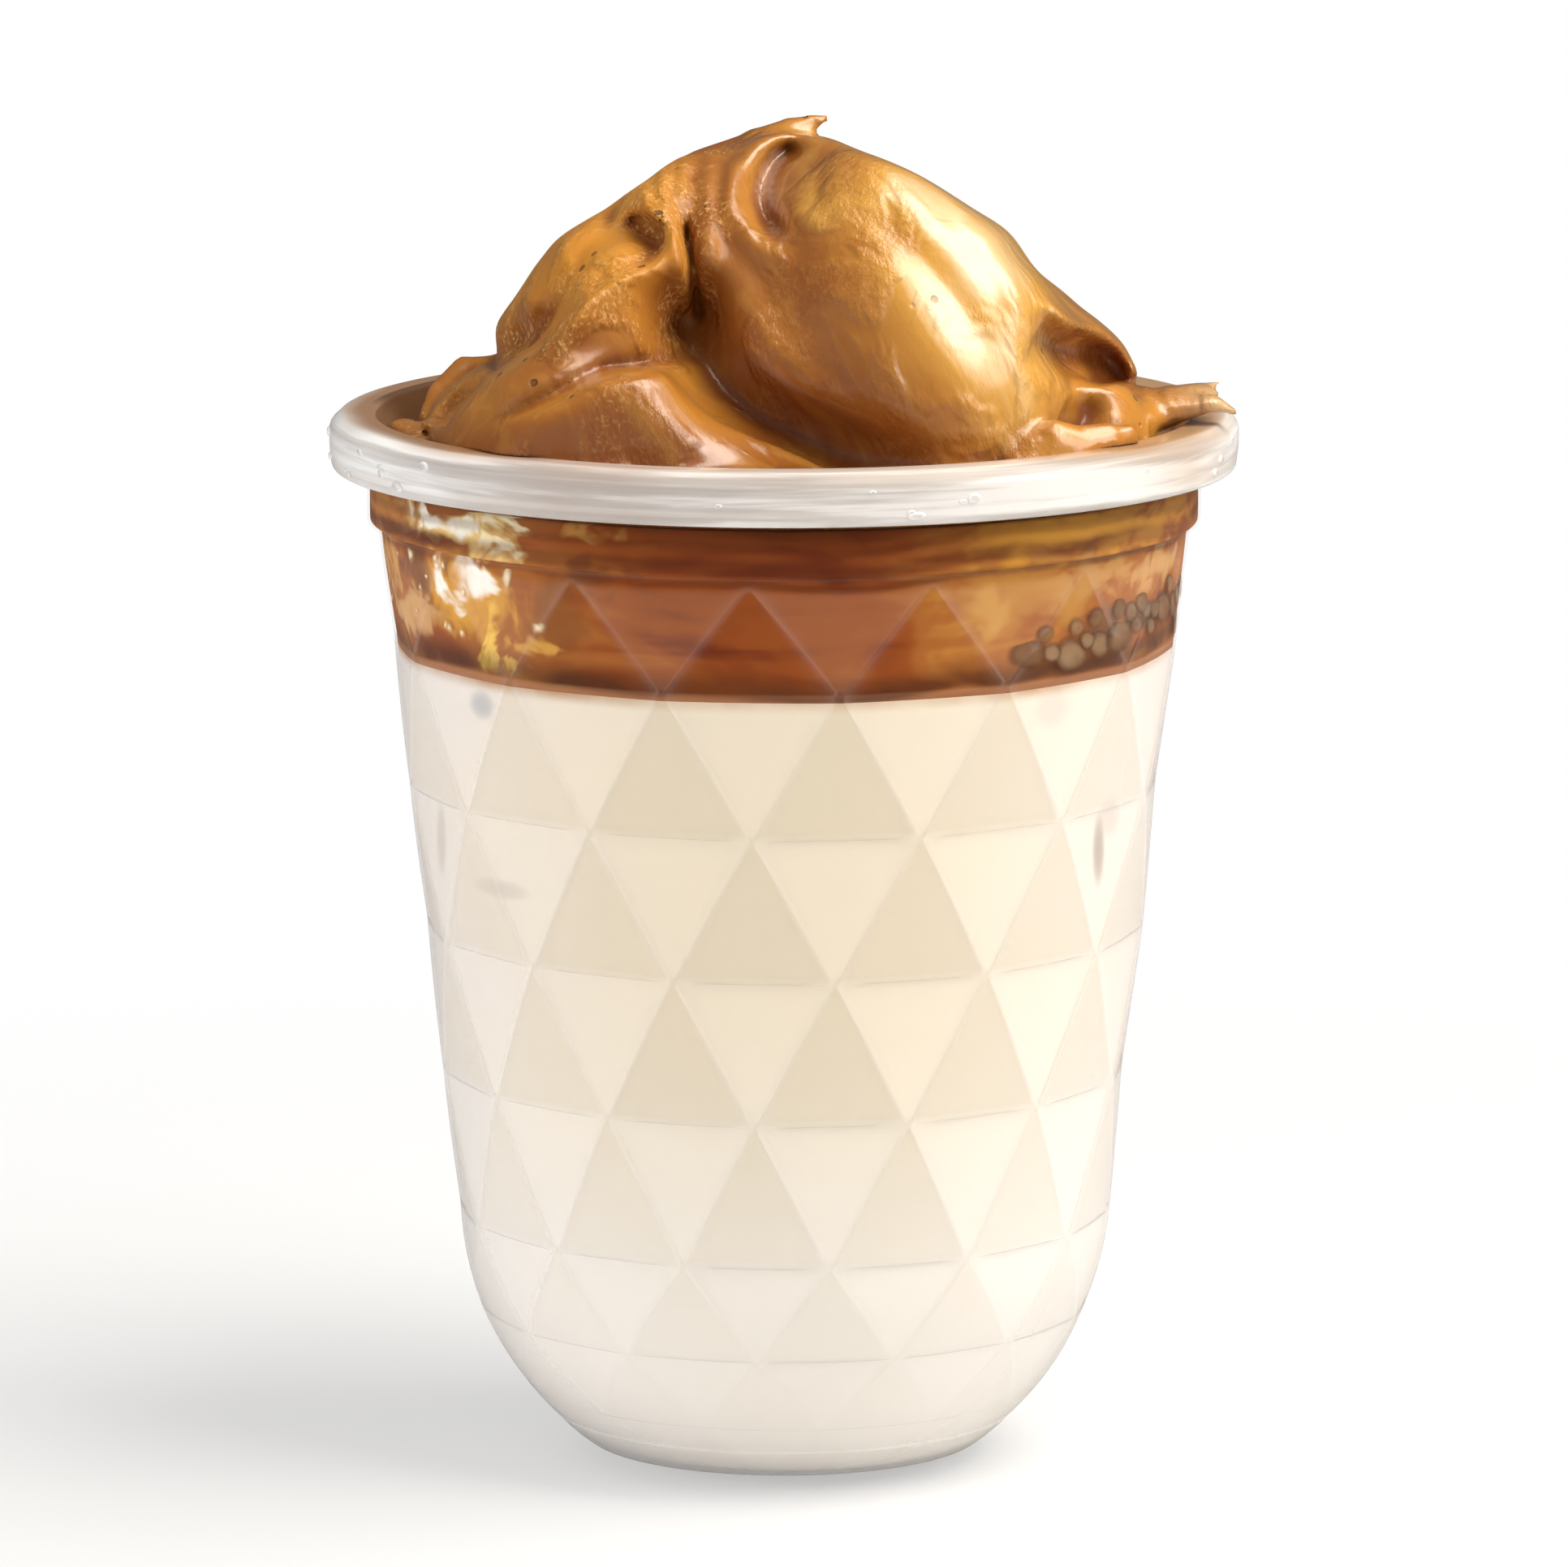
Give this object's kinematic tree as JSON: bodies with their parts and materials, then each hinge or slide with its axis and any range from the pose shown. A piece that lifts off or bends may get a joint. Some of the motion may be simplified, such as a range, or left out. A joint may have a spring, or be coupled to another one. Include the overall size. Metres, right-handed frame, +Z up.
{
  "type": "iced dalgona coffee in a plastic cup",
  "caption": "Milk and coffee in a round-bottomed faceted clear plastic cup, topped with a tall heap of whipped coffee.",
  "frame": {"origin": "middle of the flat foot the cup stands on, on the cup's axis", "axes": "+Z up along the cup's axis, -Y towards the side shown to the front, +X to the right seen from the front"},
  "size_m": [0.095, 0.095, 0.142],
  "materials": {
    "cup_plastic": "clear frosted polypropylene",
    "milk": "opaque liquid",
    "coffee": "dark amber liquid",
    "whipped_coffee": "glossy thick foam"
  },
  "bodies": {
    "root": {"cup": "cup_plastic", "milk": "milk", "coffee_layer": "coffee", "whipped_coffee": "whipped_coffee"}
  },
  "joints": []
}
